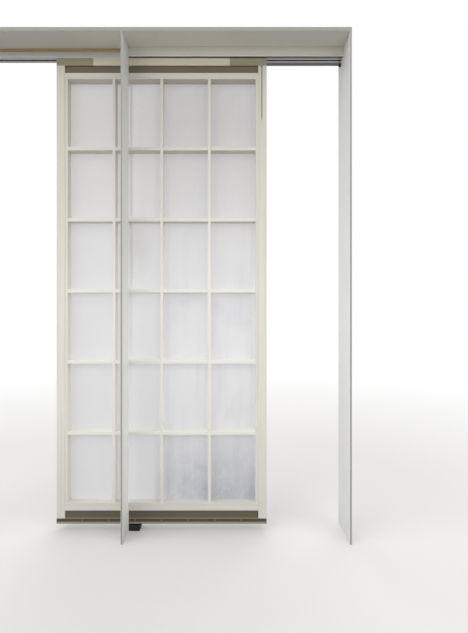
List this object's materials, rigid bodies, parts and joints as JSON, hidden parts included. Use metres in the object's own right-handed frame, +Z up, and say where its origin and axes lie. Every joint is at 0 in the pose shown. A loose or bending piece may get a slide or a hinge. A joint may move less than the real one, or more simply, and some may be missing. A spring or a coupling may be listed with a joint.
{
  "type": "shoji sliding panel with portal frame",
  "caption": "Tall latticed shoji leaf with a translucent sheet, hung on trolleys from a slotted track, sliding behind one jamb of a thin white portal frame into a pocket.",
  "frame": {"origin": "on the floor, at the opening's face of the left jamb, halfway through the frame's depth; this is the bottom centre of the whole", "axes": "+X along the track from the pocket to the opening, +Y away from the room side that the lattice faces, +Z up"},
  "size_m": [2.492, 0.245, 2.81],
  "materials": {
    "white_paint": "satin white lacquer on thin plate",
    "packer_timber": "sawn softwood batten",
    "aluminium": "natural anodised extrusion",
    "black_plastic": "black engineering plastic",
    "black_rubber": "black rubber",
    "steel": "zinc-plated steel",
    "trolley_alloy": "machined alloy block",
    "axle_steel": "ground steel",
    "nylon": "natural nylon",
    "pale_wood": "pale planed softwood, unfinished",
    "strip_wood": "pale hardwood strip",
    "olive_wood": "olive-brown stained wood",
    "dark_wood": "dark brown stained wood",
    "translucent_sheet": "frosted translucent sheet"
  },
  "bodies": {
    "frame": {"header_plate": "white_paint", "right_jamb": "white_paint", "left_jamb": "white_paint", "left_rear_strip": "white_paint", "pocket_end_post": "white_paint", "front_pelmet": "white_paint", "rear_pelmet": "white_paint", "track_packer": "packer_timber", "track_web": "aluminium", "track_front_wall": "aluminium", "track_rear_wall": "aluminium", "track_front_lip": "aluminium", "track_rear_lip": "aluminium", "track_screws": "steel", "header_screws": "steel", "track_stops": "black_plastic", "stop_screws": "steel", "jamb_buffer": "black_rubber", "buffer_screw": "steel", "floor_guide": "black_plastic"},
    "leaf": {"base_rail_screws": "steel", "bead_pins": "steel", "hanger_plate_screws": "steel", "hanger_bolts": "steel", "lock_nuts": "steel", "hanger_plates": "steel", "left_trolley": "trolley_alloy", "right_trolley": "trolley_alloy", "left_stile": "pale_wood", "right_stile": "pale_wood", "top_rail": "pale_wood", "bottom_rail": "pale_wood", "left_border": "pale_wood", "right_border": "pale_wood", "vertical_muntin_1": "pale_wood", "vertical_muntin_2": "pale_wood", "vertical_muntin_3": "pale_wood", "horizontal_muntin_1": "pale_wood", "horizontal_muntin_2": "pale_wood", "horizontal_muntin_3": "pale_wood", "horizontal_muntin_4": "pale_wood", "horizontal_muntin_5": "pale_wood", "side_beads": "pale_wood", "level_beads": "pale_wood", "cap_strip": "strip_wood", "front_wear_strip": "strip_wood", "rear_wear_strip": "strip_wood", "hanging_rail": "olive_wood", "upper_dark_rail": "dark_wood", "lower_dark_rail": "dark_wood", "base_rail": "dark_wood", "translucent_sheet": "translucent_sheet"},
    "left_outer_wheelset": {"left_outer_wheels": "nylon", "left_outer_axle": "axle_steel"},
    "left_inner_wheelset": {"left_inner_wheels": "nylon", "left_inner_axle": "axle_steel"},
    "right_outer_wheelset": {"right_outer_wheels": "nylon", "right_outer_axle": "axle_steel"},
    "right_inner_wheelset": {"right_inner_wheels": "nylon", "right_inner_axle": "axle_steel"}
  },
  "joints": [
    {"name": "leaf_slide", "type": "slide", "parent": "frame", "child": "leaf", "axis": [1, 0, 0], "range_m": [-0.746, 0.4275]},
    {"name": "left_outer_roll", "type": "hinge", "parent": "leaf", "child": "left_outer_wheelset", "pos_m": [-0.335, 0.056, 2.7508], "axis": [0, 1, 0], "continuous": true},
    {"name": "left_inner_roll", "type": "hinge", "parent": "leaf", "child": "left_inner_wheelset", "pos_m": [-0.291, 0.056, 2.7508], "axis": [0, 1, 0], "continuous": true},
    {"name": "right_inner_roll", "type": "hinge", "parent": "leaf", "child": "right_inner_wheelset", "pos_m": [0.669, 0.056, 2.7508], "axis": [0, 1, 0], "continuous": true},
    {"name": "right_outer_roll", "type": "hinge", "parent": "leaf", "child": "right_outer_wheelset", "pos_m": [0.713, 0.056, 2.7508], "axis": [0, 1, 0], "continuous": true}
  ],
  "couplings": [
    {"joint": "left_outer_roll", "follows": "leaf_slide", "rad_per_m": 80},
    {"joint": "left_inner_roll", "follows": "leaf_slide", "rad_per_m": 80},
    {"joint": "right_inner_roll", "follows": "leaf_slide", "rad_per_m": 80},
    {"joint": "right_outer_roll", "follows": "leaf_slide", "rad_per_m": 80}
  ]
}
